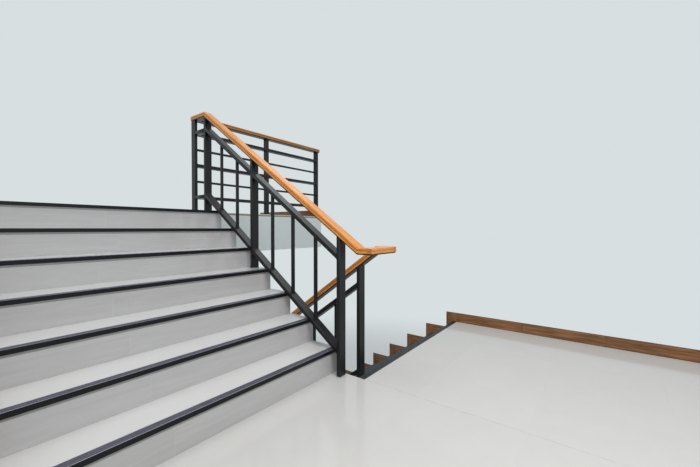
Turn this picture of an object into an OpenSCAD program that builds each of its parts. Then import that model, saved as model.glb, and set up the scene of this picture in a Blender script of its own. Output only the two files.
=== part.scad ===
// Dog-leg fire escape stair: two flights side by side that meet at a half landing.
// Millimetres. x runs across the stair, y from the wall behind the half landing, z is up.
// The origin is the middle of the landing slab's edge, the face that bears on that wall.
// Inside a flight, y is counted from the front of its lowest nosing and z from the floor there.

/* [Steps] */
// Height of one step
riser = 175; // [165:1:185]
// Depth of one step, from nosing to nosing
going = 250; // [240:1:280]
// Risers in each flight
risers = 7; // [6:1:9]
// Width of each flight
flight_w = 1770; // [1500:10:2000]
// Gap between the two flights
well_w = 60; // [50:5:100]
// How far each nosing stands out over its riser
overhang = 10; // [5:1:15]

/* [Concrete] */
// Thickness of the landing slabs
slab_t = 160; // [140:5:200]
// Thickness of the sloping slab under the steps
waist_t = 150; // [120:5:180]
// Depth of the half landing, from the wall to the lowest nosing of the upper flight
landing_l = 2250; // [1500:10:2600]
// How much nearer the wall the lower flight leaves the landing
setback = 190; // [170:5:210]
// Depth of the floor landing, from the top nosing to its far edge
floor_l = 1740; // [1000:10:2000]
// Depth of the edge beam of the floor landing, below the floor
beam_h = 450; // [400:10:500]
// Width of the edge beam
beam_w = 200; // [150:10:250]

/* [Tiles] */
// Thickness of tile and bed on treads and landings, and height of the nosing strips
finish = 25; // [20:1:30]
// Thickness of the riser tiles
riser_tile = 12; // [8:1:15]
// Depth of a nosing strip
strip_d = 47; // [40:1:60]
// Ribs on top of a nosing strip
strip_ribs = 6; // [3:1:8]
// Depth of the grooves between the ribs
groove_d = 1.5; // [1:0.5:3]

/* [Skirting] */
// Height of the skirting over the floor
skirt_h = 98; // [80:1:120]
// Width of the skirting in front of a riser
skirt_v = 85; // [70:1:100]
// Thickness of the skirting
skirt_t = 12; // [8:1:15]

/* [Railing] */
// Width of the posts, across their railing
post_w = 70; // [50:1:76]
// Depth of the posts, along their railing
post_d = 30; // [25:1:40]
// Width of the rails, which lie flat
rail_w = 70; // [40:1:76]
// Thickness of the rails
rail_t = 32; // [20:1:40]
// Side of the square balusters
baluster_w = 22; // [14:1:30]
// Inset of the upper flight's railing from the flight's edge
up_inset = 50; // [45:1:70]
// Inset of the lower flight's railing from the flight's edge
down_inset = 135; // [100:1:150]
// Middle of the bottom rail over the line of nosings
bottom_rail_h = 45; // [40:1:60]
// Middle of the sub-rail over the line of nosings
sub_rail_h = 714; // [650:1:750]
// Foot post in front of the lowest nosing
foot_post_s = 68; // [50:1:80]
// Middle post of the upper flight behind the nosing of its fourth tread
up_middle_s = 163; // [120:1:180]
// Middle post of the lower flight behind the nosing of its second tread
down_middle_s = 148; // [120:1:180]
// Top post of the upper flight behind the top nosing
up_top_s = 169; // [150:1:200]
// Top newel of the lower flight in front of the landing's nosing
down_newel_s = 125; // [80:1:150]

/* [Guard] */
// Guard line behind the top nosing of the upper flight
guard_s = 390; // [360:5:420]
// Slab edge in front of the guard line
guard_edge = 70; // [60:5:80]
// Top of the guard over the floor
guard_h = 999; // [940:1:1100]
// How much lower its rails run than the flight's rails at the top post
guard_drop = 12; // [0:1:20]
// Middle guard post from the line of the flight's railing
guard_middle_x = 920; // [700:1:1100]
// Guard's last post from the edge of the flight
guard_wall_x = 40; // [35:1:60]
// Side of the thin square guard bars
bar_w = 22; // [16:1:30]

/* [Handrail] */
// Top of the lower flight's wood over the line of nosings
down_wood_h = 898; // [850:1:950]
// Top of the upper flight's wood over the lowest nosing
up_wood_h = 912; // [850:1:950]
// and over the top nosing
up_wood_top_h = 885; // [850:1:950]
// Width of the wood
wood_w = 80; // [60:1:90]
// Thickness of the wood
wood_t = 38; // [30:1:50]
// Groove along each side of the wood: its height
reed_h = 4; // [2:1:6]
// Groove along each side of the wood: its depth
reed_d = 3; // [2:1:5]
// Width of the steel flat under the wood
flat_w = 70; // [40:1:76]
// Thickness of the steel flat
flat_t = 8; // [5:1:10]
// Bend between slope and level, in front of the lowest nosing
turn_bend = 247; // [225:1:260]
// Level stretch between a bend and its joint with the turn
turn_leg = 5; // [3:1:10]
// End of the turn in front of the lowest nosing
turn_end = 353; // [340:1:400]

/* [Hidden] */
slope = riser / going;
cos_pitch = going / sqrt(riser * riser + going * going);
rise = risers * riser;
top_s = (risers - 1) * going;
core = overhang + riser_tile;
floor_z = slab_t / 2 + finish;
down_y = landing_l - setback + top_s;
half_w = well_w / 2;
wall_x = half_w + flight_w;
up_rail_x = -half_w - up_inset;
down_rail_x = half_w + down_inset;
up_posts = [-foot_post_s, 3 * going + up_middle_s, top_s + up_top_s];
down_posts = [-foot_post_s, going + down_middle_s, top_s - down_newel_s];
up_bays = [3, 2];
down_bays = [1, 3];
guard_y = top_s + guard_s;
guard_posts = [up_rail_x - (post_w - post_d) / 2, up_rail_x + guard_middle_x, wall_x - guard_wall_x];
guard_low = riser + up_posts[2] * slope - rise + bottom_rail_h - guard_drop;
guard_high = riser + up_posts[2] * slope - rise + sub_rail_h - guard_drop;
guard_step = (guard_high - guard_low) / 4;
far_y = top_s + floor_l;
cladding = wood_t + flat_t;
reed_z = (wood_t - reed_h) / 2;
turn_y = landing_l - turn_end + wood_w / 2;
up_wood = [up_wood_h, slope + (up_wood_top_h - up_wood_h) / top_s];
down_wood = [down_wood_h, slope];
turn_h = riser + up_wood_h - turn_bend * up_wood[1];
turn_bottom = floor_z + turn_h - wood_t;
down_bend = wood_bend(down_wood, cladding, rise + turn_h);
joint_y = min(landing_l - turn_bend, down_y - down_bend) - turn_leg;

// Height of a line that runs h over the nosings, at s along the flight
function line_z(h, s) = riser + h + s * slope;

// A wood line is its height over the lowest nosing and its slope. Height at s of the surface
// that lies d under it, square to the slope
function wood_z(wood, d, s) = riser + wood[0] - d * sqrt(1 + wood[1] * wood[1]) + s * wood[1];

// Place where that surface meets the one that lies d under a level top
function wood_bend(wood, d, level) = (level - d - wood_z(wood, d, 0)) / wood[1];

// Finished level under a post that stands at s
function stand_z(s) = s < 0 ? 0 : min(risers, floor(s / going) + 1) * riser;

// Underside of the sloping slab, as a height at s and as a place at height z
function soffit_z(s) = (s - core) * slope - finish - waist_t / cos_pitch;
function soffit_s(z) = core + (z + finish + waist_t / cos_pitch) / slope;

// Underside of the flat at s, up to its level end
function seat_z(wood, s, high) = min(high - cladding, wood_z(wood, cladding, s));

// Side outline of a handrail's layer from d to e under its top. It runs level, slopes with the
// flight and runs level again
function ribbon(wood, s0, low, high, s1, d, e) = [
    [s0, low - d], [wood_bend(wood, d, low), low - d],
    [wood_bend(wood, d, high), high - d], [s1, high - d],
    [s1, high - e], [wood_bend(wood, e, high), high - e],
    [wood_bend(wood, e, low), low - e], [s0, low - e]
];

// Step outline of the concrete, closed by its head and by the soffit
function flight_outline(foot_z, head) = concat(
    [[core, foot_z]],
    [for (k = [1:risers - 1]) each [
        [(k - 1) * going + core, k * riser - finish],
        [k * going + core, k * riser - finish]
    ]],
    head,
    [[soffit_s(foot_z), foot_z]]
);

// Ribbed section of a nosing strip, with its front at y = 0 and its top at z = 0
function strip_outline() = let (pitch = strip_d / (strip_ribs + 1)) concat(
    [[0, -finish], [0, 0]],
    [for (i = [1:strip_ribs]) each [
        [i * pitch - pitch / 4, 0], [i * pitch - pitch / 4, -groove_d],
        [i * pitch + pitch / 4, -groove_d], [i * pitch + pitch / 4, 0]
    ]],
    [[strip_d, 0], [strip_d, -finish]]
);

// Stepped skirting: its lower edge follows the finished steps, its upper edge steps ahead of them
function skirting_outline() = concat(
    [[overhang - skirt_v, 0]],
    [for (k = [1:risers]) each [
        [(k - 1) * going + overhang, (k - 1) * riser],
        [(k - 1) * going + overhang, k * riser - finish],
        [(k - 1) * going, k * riser - finish],
        [(k - 1) * going, k * riser]
    ]],
    [[top_s + strip_d, rise], [top_s + strip_d, rise + skirt_h]],
    [for (k = [risers:-1:2]) each [
        [(k - 1) * going + overhang - skirt_v, k * riser + skirt_h],
        [(k - 1) * going + overhang - skirt_v, (k - 1) * riser + skirt_h]
    ]],
    [[overhang - skirt_v, riser + skirt_h]]
);

// Places a flight's own coordinates: the upper flight climbs away from the wall
module up() {
    translate([0, landing_l, floor_z]) children();
}

// and the lower flight climbs towards it
module down() {
    translate([0, down_y, floor_z - rise]) mirror([0, 1, 0]) children();
}

// Level of the floor landing, in the upper flight's coordinates
module upper_floor() {
    translate([0, landing_l, floor_z + rise]) children();
}

// Draws an outline of y and z from x = from to x = to
module across(from, to) {
    translate([from, 0, 0]) rotate([90, 0, 90]) linear_extrude(to - from) children();
}

// Draws an outline of y and z centred on x
module centred(x, width) {
    across(x - width / 2, x + width / 2) children();
}

// Box between two corners
module block(low, high) {
    translate(low) cube(high - low);
}

// Concrete

module half_landing_slab() {
    color("gainsboro") translate([0, 0, -slab_t / 2]) linear_extrude(slab_t) polygon([
        [-wall_x, 0], [wall_x, 0], [wall_x, landing_l - setback - core],
        [-half_w, landing_l - setback - core], [-half_w, landing_l + core], [-wall_x, landing_l + core]
    ]);
}

module up_flight() {
    head_s = top_s + core;
    color("gainsboro") up() across(-wall_x, -half_w)
        polygon(flight_outline(-finish - slab_t, [[head_s, soffit_z(head_s)]]));
}

module down_flight() {
    slab_z = rise - finish - slab_t;
    color("gainsboro") down() across(half_w, wall_x)
        polygon(flight_outline(0, [[top_s + core, slab_z], [soffit_s(slab_z), slab_z]]));
}

module floor_slab() {
    edge_y = guard_y - guard_edge;
    front_y = top_s + core;
    color("gainsboro") upper_floor() {
        translate([0, 0, -finish - slab_t]) linear_extrude(slab_t) polygon([
            [-wall_x, front_y], [-half_w, front_y], [-half_w, edge_y],
            [wall_x, edge_y], [wall_x, far_y], [-wall_x, far_y]
        ]);
        translate([0, 0, -beam_h]) linear_extrude(beam_h - finish) polygon([
            [-wall_x, front_y], [-half_w, front_y], [-half_w, edge_y],
            [wall_x, edge_y], [wall_x, edge_y + beam_w], [-half_w - beam_w, edge_y + beam_w],
            [-half_w - beam_w, front_y + beam_w], [-wall_x, front_y + beam_w]
        ]);
    }
}

// Tiles and nosing strips

module landing_tiles() {
    strip_y = landing_l - setback - strip_d;
    color("whitesmoke") translate([0, 0, floor_z - finish]) linear_extrude(finish) polygon([
        [-wall_x, 0], [wall_x, 0], [wall_x, strip_y],
        [-half_w, strip_y], [-half_w, landing_l + overhang], [-wall_x, landing_l + overhang]
    ]);
}

module floor_tiles() {
    edge_y = guard_y - guard_edge;
    color("whitesmoke") upper_floor() translate([0, 0, -finish]) linear_extrude(finish) polygon([
        [-wall_x, top_s + strip_d], [-half_w, top_s + strip_d], [-half_w, edge_y],
        [wall_x, edge_y], [wall_x, far_y], [-wall_x, far_y]
    ]);
}

module treads(x0, x1) {
    for (k = [1:risers - 1])
        block([x0, (k - 1) * going + strip_d, k * riser - finish], [x1, k * going + overhang, k * riser]);
}

module up_treads() {
    color("whitesmoke") up() treads(-wall_x, -half_w);
}

module down_treads() {
    color("whitesmoke") down() treads(half_w, wall_x);
}

// Riser k, from the concrete of the step below to the underside of its nosing
module riser_plate(k, foot_z, x0, x1) {
    block([x0, (k - 1) * going + overhang, foot_z], [x1, (k - 1) * going + core, k * riser - finish]);
}

module up_risers() {
    color("silver") up() for (k = [1:risers])
        riser_plate(k, (k - 1) * riser - finish, -wall_x, -half_w);
}

// The highest riser goes on over the end of the well, and the lowest stands on the floor
module down_risers() {
    color("silver") down() for (k = [1:risers])
        riser_plate(k, k == 1 ? 0 : (k - 1) * riser - finish, k == risers ? -half_w : half_w, wall_x);
}

module nosing(k, x0, x1) {
    translate([0, (k - 1) * going, k * riser]) across(x0, x1) polygon(strip_outline());
}

module up_nosings() {
    color("dimgray") up() for (k = [1:risers]) nosing(k, -wall_x, -half_w);
}

module down_nosings() {
    color("dimgray") down() for (k = [1:risers - 1]) nosing(k, half_w, wall_x);
}

module landing_nosing() {
    color("dimgray") down() nosing(risers, -half_w, wall_x);
}

// Posts and rails

// A post is cut along the underside of the flat that it carries
module flight_post(wood, s, high) {
    a = s - post_d / 2;
    b = s + post_d / 2;
    bend = wood_bend(wood, cladding, high);
    polygon(concat(
        [[a, stand_z(s)], [a, seat_z(wood, a, high)]],
        bend > a && bend < b ? [[bend, high - cladding]] : [],
        [[b, seat_z(wood, b, high)], [b, stand_z(s)]]
    ));
}

module up_post(s) {
    color("#26282b") up() centred(up_rail_x, post_w) flight_post(up_wood, s, rise + guard_h);
}

module down_post(s) {
    color("#26282b") down() centred(down_rail_x, post_w) flight_post(down_wood, s, rise + turn_h);
}

module up_newel() { up_post(up_posts[0]); }
module up_middle_post() { up_post(up_posts[1]); }
module up_top_post() { up_post(up_posts[2]); }
module down_foot_post() { down_post(down_posts[0]); }
module down_middle_post() { down_post(down_posts[1]); }
module down_newel() { down_post(down_posts[2]); }

module guard_post(x) {
    color("#26282b") upper_floor() translate([x - post_d / 2, guard_y - post_w / 2, 0])
        cube([post_d, post_w, guard_h - cladding]);
}

module guard_corner_post() { guard_post(guard_posts[0]); }
module guard_middle_post() { guard_post(guard_posts[1]); }
module guard_wall_post() { guard_post(guard_posts[2]); }

// Outline of a sloping rail between two posts, h over the nosings
module slope_rail(s0, s1, h) {
    t = rail_t / 2 / cos_pitch;
    a = s0 + post_d / 2;
    b = s1 - post_d / 2;
    polygon([[a, line_z(h - t, a)], [a, line_z(h + t, a)], [b, line_z(h + t, b)], [b, line_z(h - t, b)]]);
}

module slope_rails(x, posts, h) {
    color("#26282b") for (i = [0:len(posts) - 2])
        centred(x, rail_w) slope_rail(posts[i], posts[i + 1], h);
}

module up_bottom_rail() { up() slope_rails(up_rail_x, up_posts, bottom_rail_h); }
module up_sub_rail() { up() slope_rails(up_rail_x, up_posts, sub_rail_h); }
module down_bottom_rail() { down() slope_rails(down_rail_x, down_posts, bottom_rail_h); }
module down_sub_rail() { down() slope_rails(down_rail_x, down_posts, sub_rail_h); }

// A baluster's ends are cut along the rails above and below it
module baluster(s) {
    t = rail_t / 2 / cos_pitch;
    a = s - baluster_w / 2;
    b = s + baluster_w / 2;
    polygon([
        [a, line_z(bottom_rail_h + t, a)], [a, line_z(sub_rail_h - t, a)],
        [b, line_z(sub_rail_h - t, b)], [b, line_z(bottom_rail_h + t, b)]
    ]);
}

module balusters(x, posts, bays) {
    color("#26282b") for (i = [0:len(bays) - 1], j = [1:bays[i]])
        centred(x, baluster_w) baluster(posts[i] + (posts[i + 1] - posts[i]) * j / (bays[i] + 1));
}

module up_balusters() { up() balusters(up_rail_x, up_posts, up_bays); }
module down_balusters() { down() balusters(down_rail_x, down_posts, down_bays); }

// Level rails that join the top post to the guard's corner post
module return_rails() {
    color("#26282b") upper_floor() for (z = [guard_low, guard_high])
        block([up_rail_x - rail_w / 2, up_posts[2] + post_d / 2, z - rail_t / 2],
              [up_rail_x + rail_w / 2, guard_y - max(post_w, rail_w) / 2, z + rail_t / 2]);
}

// Level members in both bays of the guard, w wide and t thick
module guard_level(z, w, t) {
    for (i = [0:1])
        block([guard_posts[i] + post_d / 2, guard_y - w / 2, z - t / 2],
              [guard_posts[i + 1] - post_d / 2, guard_y + w / 2, z + t / 2]);
}

module guard_rails() {
    color("#26282b") upper_floor() for (i = [0, 2, 4]) guard_level(guard_low + i * guard_step, rail_w, rail_t);
}

module guard_bars() {
    color("#26282b") upper_floor() for (i = [1, 3]) guard_level(guard_low + i * guard_step, bar_w, bar_w);
}

// Handrail and the steel flat under it

module up_layer(d, e, s1) {
    polygon(ribbon(up_wood, joint_y - landing_l, turn_h, rise + guard_h, s1, d, e));
}

module down_layer(d, e) {
    polygon(ribbon(down_wood, -turn_end, turn_h, rise + turn_h, down_y - joint_y, d, e));
}

// Plan of the turn for a width w: two legs and the piece that crosses the well
module turn_plan(w) {
    polygon([
        [up_rail_x - w / 2, turn_y - w / 2], [down_rail_x + w / 2, turn_y - w / 2],
        [down_rail_x + w / 2, joint_y], [down_rail_x - w / 2, joint_y],
        [down_rail_x - w / 2, turn_y + w / 2], [up_rail_x + w / 2, turn_y + w / 2],
        [up_rail_x + w / 2, joint_y], [up_rail_x - w / 2, joint_y]
    ]);
}

module up_rail_flat() {
    color("#26282b") up() centred(up_rail_x, flat_w) up_layer(wood_t, cladding, guard_y - flat_w / 2);
}

module down_rail_flat() {
    color("#26282b") down() centred(down_rail_x, flat_w) down_layer(wood_t, cladding);
}

module turn_rail_flat() {
    color("#26282b") translate([0, 0, turn_bottom - flat_t]) linear_extrude(flat_t) turn_plan(flat_w);
}

module guard_rail_flat() {
    color("#26282b") upper_floor()
        block([up_rail_x - flat_w / 2, guard_y - flat_w / 2, guard_h - cladding],
              [wall_x, guard_y + flat_w / 2, guard_h - wood_t]);
}

module up_handrail() {
    s1 = guard_y - wood_w / 2;
    color("peru") up() {
        centred(up_rail_x, wood_w - 2 * reed_d) up_layer(0, wood_t, s1);
        centred(up_rail_x, wood_w) {
            up_layer(0, reed_z, s1);
            up_layer(reed_z + reed_h, wood_t, s1);
        }
    }
}

module down_handrail() {
    color("peru") down() {
        centred(down_rail_x, wood_w - 2 * reed_d) down_layer(0, wood_t);
        centred(down_rail_x, wood_w) {
            down_layer(0, reed_z);
            down_layer(reed_z + reed_h, wood_t);
        }
    }
}

module turn_handrail() {
    low_t = wood_t - reed_z - reed_h;
    color("peru") translate([0, 0, turn_bottom]) {
        linear_extrude(wood_t) turn_plan(wood_w - 2 * reed_d);
        linear_extrude(low_t) turn_plan(wood_w);
        translate([0, 0, low_t + reed_h]) linear_extrude(reed_z) turn_plan(wood_w);
    }
}

module guard_handrail() {
    x0 = up_rail_x - wood_w / 2;
    low_t = wood_t - reed_z - reed_h;
    color("peru") upper_floor() translate([x0, guard_y - wood_w / 2, guard_h - wood_t]) {
        translate([reed_d, reed_d, 0]) cube([wall_x - x0 - reed_d, wood_w - 2 * reed_d, wood_t]);
        cube([wall_x - x0, wood_w, low_t]);
        translate([0, 0, low_t + reed_h]) cube([wall_x - x0, wood_w, reed_z]);
    }
}

// Skirting

module landing_skirting() {
    left_y = landing_l + overhang - skirt_v;
    right_y = landing_l - setback - strip_d;
    color("saddlebrown") translate([0, 0, floor_z]) linear_extrude(skirt_h) polygon([
        [-wall_x, 0], [wall_x, 0], [wall_x, right_y], [wall_x - skirt_t, right_y],
        [wall_x - skirt_t, skirt_t], [-wall_x + skirt_t, skirt_t], [-wall_x + skirt_t, left_y],
        [-wall_x, left_y]
    ]);
}

module up_skirting() {
    color("saddlebrown") up() across(-wall_x, -wall_x + skirt_t) polygon(skirting_outline());
}

module down_skirting() {
    color("saddlebrown") down() across(wall_x - skirt_t, wall_x) polygon(skirting_outline());
}

module floor_skirting() {
    color("saddlebrown") upper_floor() {
        block([-wall_x, top_s + strip_d, 0], [-wall_x + skirt_t, far_y, skirt_h]);
        block([wall_x - skirt_t, guard_y - guard_edge, 0], [wall_x, far_y, skirt_h]);
    }
}

half_landing_slab();
up_flight();
down_flight();
floor_slab();
landing_tiles();
floor_tiles();
up_treads();
down_treads();
up_risers();
down_risers();
up_nosings();
down_nosings();
landing_nosing();
up_newel();
up_middle_post();
up_top_post();
down_newel();
down_middle_post();
down_foot_post();
guard_corner_post();
guard_middle_post();
guard_wall_post();
up_bottom_rail();
up_sub_rail();
down_bottom_rail();
down_sub_rail();
return_rails();
guard_rails();
guard_bars();
up_balusters();
down_balusters();
up_rail_flat();
turn_rail_flat();
down_rail_flat();
guard_rail_flat();
up_handrail();
turn_handrail();
down_handrail();
guard_handrail();
landing_skirting();
up_skirting();
down_skirting();
floor_skirting();
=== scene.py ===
"""Looks of the tiled concrete dog-leg escape stair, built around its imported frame.

Metres. x runs across the stair, y from the wall behind the half landing, z is up.
"""

from math import atan, hypot, pi, radians

import bmesh
import bpy
from mathutils import Matrix, Vector


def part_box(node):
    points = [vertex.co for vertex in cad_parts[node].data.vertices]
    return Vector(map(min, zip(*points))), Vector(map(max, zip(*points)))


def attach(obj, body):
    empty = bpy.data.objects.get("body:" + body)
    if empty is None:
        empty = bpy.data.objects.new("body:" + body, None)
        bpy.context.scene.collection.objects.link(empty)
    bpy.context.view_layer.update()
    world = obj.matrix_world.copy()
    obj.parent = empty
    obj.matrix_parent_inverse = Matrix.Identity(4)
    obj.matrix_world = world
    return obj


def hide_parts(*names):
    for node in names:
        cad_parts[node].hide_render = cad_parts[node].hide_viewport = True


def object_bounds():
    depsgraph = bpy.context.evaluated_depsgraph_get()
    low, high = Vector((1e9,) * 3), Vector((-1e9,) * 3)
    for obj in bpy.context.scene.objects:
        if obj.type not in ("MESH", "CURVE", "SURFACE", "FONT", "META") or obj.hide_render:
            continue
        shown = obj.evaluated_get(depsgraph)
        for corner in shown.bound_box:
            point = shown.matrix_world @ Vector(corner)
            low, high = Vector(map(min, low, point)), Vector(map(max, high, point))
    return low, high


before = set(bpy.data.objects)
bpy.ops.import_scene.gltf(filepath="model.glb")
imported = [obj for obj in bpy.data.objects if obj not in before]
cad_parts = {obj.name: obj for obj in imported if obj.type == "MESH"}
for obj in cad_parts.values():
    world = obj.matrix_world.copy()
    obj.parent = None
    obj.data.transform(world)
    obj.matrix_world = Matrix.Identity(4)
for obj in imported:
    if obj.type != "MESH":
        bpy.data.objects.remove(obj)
cad_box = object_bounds()

# The view: from the half landing, beside the foot of the upper flight, at chest height.
# It was fitted to the stair's own edges in the photo.
view = bpy.data.cameras.new("view from the half landing")
view.lens = 17.319
view.sensor_width = 36
view.clip_start = 0.05
camera = bpy.data.objects.new("camera", view)
camera.location = (-1.941, 0.689, 1.1536)
camera.rotation_euler = (radians(89.147), 0, radians(-52.788))
bpy.context.scene.collection.objects.link(camera)
bpy.context.scene.camera = camera

# Concrete: the half landing, both flights and the floor landing with its edge beam are cast in
# place. What people see is rendered smooth and painted off-white with a roller; the ends that are
# built into the walls and floors stay as they came out of the formwork.
WALL_X, FAR_Y, FOOT_Z = cad_box[1][0], cad_box[1][1], cad_box[0][2]
CAST_ARRIS = 0.002
NEAR = 1e-4  # places closer than this count as one
SHARE, ONE, TWO = 0, 6, 7  # a Mix node's inputs: the share of the second colour, both colours


def linear(shade):
    """The linear colour of an sRGB hex shade."""
    parts = [int(shade[i : i + 2], 16) / 255 for i in (1, 3, 5)]
    return [p / 12.92 if p <= 0.04045 else ((p + 0.055) / 1.055) ** 2.4 for p in parts] + [1]


def socket_of(source):
    """Where a link starts: a socket, or the first output in use of a node."""
    if isinstance(source, bpy.types.NodeSocket):
        return source
    return next(socket for socket in source.outputs if socket.enabled)


def add(tree, kind, settings=None, links=None):
    """Adds a shader node, sets its inputs or properties and links its inputs."""
    node = tree.nodes.new("ShaderNode" + kind)
    for name, value in (settings or {}).items():
        if not isinstance(name, int) and hasattr(node, name):
            setattr(node, name, value)
        else:
            node.inputs[name].default_value = value
    for name, source in (links or {}).items():
        tree.links.new(socket_of(source), node.inputs[name])
    return node


def new_finish(name, fixed, grain=None):
    """A new material with its shader's own values, its node tree, and where its pattern lies.

    A pattern lies by the place on the stair, or by an attribute that holds a piece's grain.
    """
    material = bpy.data.materials.new(name)
    material.use_nodes = True
    tree = material.node_tree
    for socket, value in fixed.items():
        tree.nodes["Principled BSDF"].inputs[socket].default_value = value
    if grain:
        return material, tree, add(tree, "Attribute", {"attribute_name": grain}).outputs["Vector"]
    return material, tree, add(tree, "TexCoord").outputs["Object"]


def lay_on(tree, colour, gloss=None, relief=None):
    """Links a colour, and a roughness and a normal if there are any, to a material's shader."""
    shader = tree.nodes["Principled BSDF"]
    for name, source in (("Base Color", colour), ("Roughness", gloss), ("Normal", relief)):
        if source is not None:
            tree.links.new(socket_of(source), shader.inputs[name])


def shape_of(node):
    """The solids of a CAD node as one mesh of whole faces."""
    bm = bmesh.new()
    bm.from_mesh(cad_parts[node].data)
    bmesh.ops.remove_doubles(bm, verts=bm.verts, dist=1e-5)
    bmesh.ops.dissolve_limit(bm, angle_limit=radians(0.5), verts=bm.verts, edges=bm.edges)
    return bm


def arris(bm, edges, width, segments=2):
    """Takes the sharpness off edges."""
    bmesh.ops.bevel(
        bm, geom=list(edges), offset=width, offset_type="OFFSET", segments=segments, profile=0.5,
        affect="EDGES", material=-1, clamp_overlap=True,
    )


def corners(edges):
    """Those of the edges at which a mesh turns by more than 40 degrees."""
    return [e for e in edges if len(e.link_faces) == 2 and e.calc_face_angle(0) > radians(40)]


def set_in_place(bm, name, finishes, node=None, rounded=False):
    """Makes the mesh a piece of the stair, which stands for the CAD node if one is named."""
    mesh = bpy.data.meshes.new(name)
    bm.to_mesh(mesh)
    bm.free()
    for finish in finishes:
        mesh.materials.append(finish)
    piece = bpy.data.objects.new(name, mesh)
    bpy.context.scene.collection.objects.link(piece)
    if rounded:
        mesh.shade_smooth()
        piece.modifiers.new("flat faces stay flat", "WEIGHTED_NORMAL").keep_sharp = True
    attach(piece, "root")
    if node:
        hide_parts(node)


# Emulsion paint rolled on smooth render: matt, near white, in patches 590 mm wide, with a fine
# stipple from the roller and very slightly uneven where the trowel went.
paint, tree, place = new_finish("rolled emulsion on smooth render", {"Roughness": 0.72})
patches = add(tree, "TexNoise", {"Scale": 1.7, "Detail": 4, "Roughness": 0.6}, {"Vector": place})
tone = add(
    tree, "Mix", {"data_type": "RGBA", ONE: linear("#ecf5f6"), TWO: linear("#e4eff0")},
    {SHARE: patches},
)
stipple = add(tree, "TexNoise", {"Scale": 1 / 0.0025, "Detail": 2}, {"Vector": place})
trowel = add(tree, "TexNoise", {"Scale": 1 / 0.18, "Detail": 2}, {"Vector": place})
fine = add(tree, "Bump", {"Strength": 0.25, "Distance": 0.0006}, {"Height": stipple})
wavy = add(tree, "Bump", {"Strength": 0.3, "Distance": 0.004}, {"Height": trowel, "Normal": fine})
lay_on(tree, tone, relief=wavy)

# Bare concrete as struck: grey, blotchy with damp, with small blowholes.
bare, tree, place = new_finish("bare cast concrete", {"Roughness": 0.9})
damp = add(
    tree, "TexNoise", {"Scale": 1 / 0.3125, "Detail": 6, "Roughness": 0.65}, {"Vector": place}
)
tone = add(
    tree, "Mix", {"data_type": "RGBA", ONE: linear("#8f8d87"), TWO: linear("#b3b0a9")},
    {SHARE: damp},
)
holes = add(tree, "TexVoronoi", {"Scale": 1 / 0.03, "Randomness": 1}, {"Vector": place})
hole = add(
    tree, "MapRange", {"From Min": 0.05, "From Max": 0.14, "To Min": 0, "To Max": 1},
    {"Value": holes},
)
grit = add(tree, "TexNoise", {"Scale": 1 / 0.003, "Detail": 3}, {"Vector": place})
pits = add(tree, "Bump", {"Strength": 0.7, "Distance": 0.002}, {"Height": hole})
sandy = add(tree, "Bump", {"Strength": 0.3, "Distance": 0.001}, {"Height": grit, "Normal": pits})
lay_on(tree, tone, relief=sandy)

for node in ("half_landing_slab", "up_flight", "down_flight", "floor_slab"):
    bm = shape_of(node)
    arris(bm, corners(bm.edges), CAST_ARRIS)
    for face in bm.faces:
        x, y, z = face.calc_center_median()
        built_in = abs(x) > WALL_X - NEAR or y < NEAR or y > FAR_Y - NEAR or z < FOOT_Z + NEAR
        face.material_index = int(built_in)
    set_in_place(bm, node + "_cast", (paint, bare), node)

# Landing floors: off-white polished porcelain tiles, 1200 mm long, on a mortar bed, with 1.2 mm
# grouted joints. The courses start at the risers and end in cut tiles at the walls.
WELL_X, LANDING_Y, LOWER_EDGE_Y, FLOOR_Z = 0.030, 2.25, 2.06, 0.105
RISE, RISER, GOING, STRIP, LIP, TREADS = 1.225, 0.175, 0.25, 0.047, 0.010, 6
BED, TILE, COURSE, LENGTH, TILE_ARRIS = 0.025, 0.010, 0.6285, 1.2, 0.0004
JOINT, GROUT_DROP, INSET = 0.0012, 0.0002, 0.001
FACE, GROUT, MORTAR = 0, 1, 2  # places of the finishes in each tiled piece


def box_between(bm, low, high, finish=0, width=0.0):
    """A box between two corners, with its edges eased by width."""
    had = set(bm.faces)
    low, high = Vector(low), Vector(high)
    made = bmesh.ops.create_cube(bm, size=1)["verts"]
    bmesh.ops.scale(bm, vec=high - low, verts=made)
    bmesh.ops.translate(bm, vec=(low + high) / 2, verts=made)
    if width:
        arris(bm, {e for v in made for e in v.link_edges}, width)
    for face in bm.faces:
        if face not in had:
            face.material_index = finish


def spans(start, end, joints):
    """The stretches between a start and an end that joints divide, each short of its joints."""
    stops = [start] + sorted(j for j in joints if start < j < end) + [end]
    return [
        (a + (JOINT / 2 if i else 0), b - (JOINT / 2 if i < len(stops) - 2 else 0))
        for i, (a, b) in enumerate(zip(stops, stops[1:]))
    ]


def tiled_floor(bm, x_range, y_range, courses, top):
    """Tiles, grout between them and the mortar bed under them."""
    (x0, x1), (y0, y1) = x_range, y_range
    inner, outer = (x0 + INSET, y0 + INSET, top - TILE), (x1 - INSET, y1 - INSET, top - GROUT_DROP)
    box_between(bm, (x0, y0, top - BED), (x1, y1, top - TILE), MORTAR)
    box_between(bm, inner, outer, GROUT)
    for left, right in spans(x0, x1, [-WELL_X - LENGTH, -WELL_X, -WELL_X + LENGTH]):
        for near, far in spans(y0, y1, courses):
            box_between(bm, (left, near, top - TILE), (right, far, top), FACE, TILE_ARRIS)


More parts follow.
